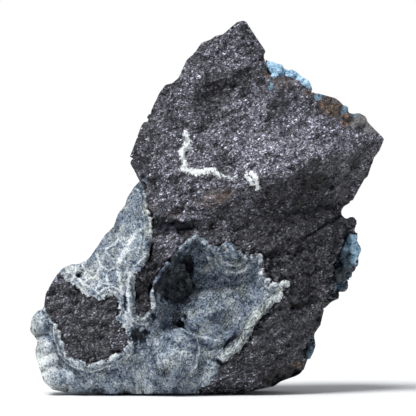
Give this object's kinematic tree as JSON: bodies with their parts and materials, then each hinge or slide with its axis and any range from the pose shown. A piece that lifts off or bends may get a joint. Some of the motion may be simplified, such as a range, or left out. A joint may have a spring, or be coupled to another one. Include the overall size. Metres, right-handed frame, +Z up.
{
  "type": "shattuckite with chalcocite specimen",
  "caption": "Broken block of dark, sparkling chalcocite with a blue-grey, grape-like shattuckite crust, a hollow lined with it and bright blue patches on the edges.",
  "frame": {"origin": "middle of the specimen's footprint box, at the level it stands on", "axes": "+X to the right of the pictured face, +Y to the back, +Z up"},
  "size_m": [0.088, 0.0426, 0.0928],
  "materials": {
    "chalcocite": "granular, dark metallic grey with small sparkling facets",
    "shattuckite_crust": "matte, blue-grey with cream rims",
    "bright_blue": "matte, finely fibrous light blue"
  },
  "bodies": {
    "root": {"chalcocite_mass": "chalcocite", "shattuckite_crust": "shattuckite_crust", "blue_crust_top": "bright_blue", "blue_crust_side": "bright_blue", "blue_crust_low": "bright_blue"}
  },
  "joints": []
}
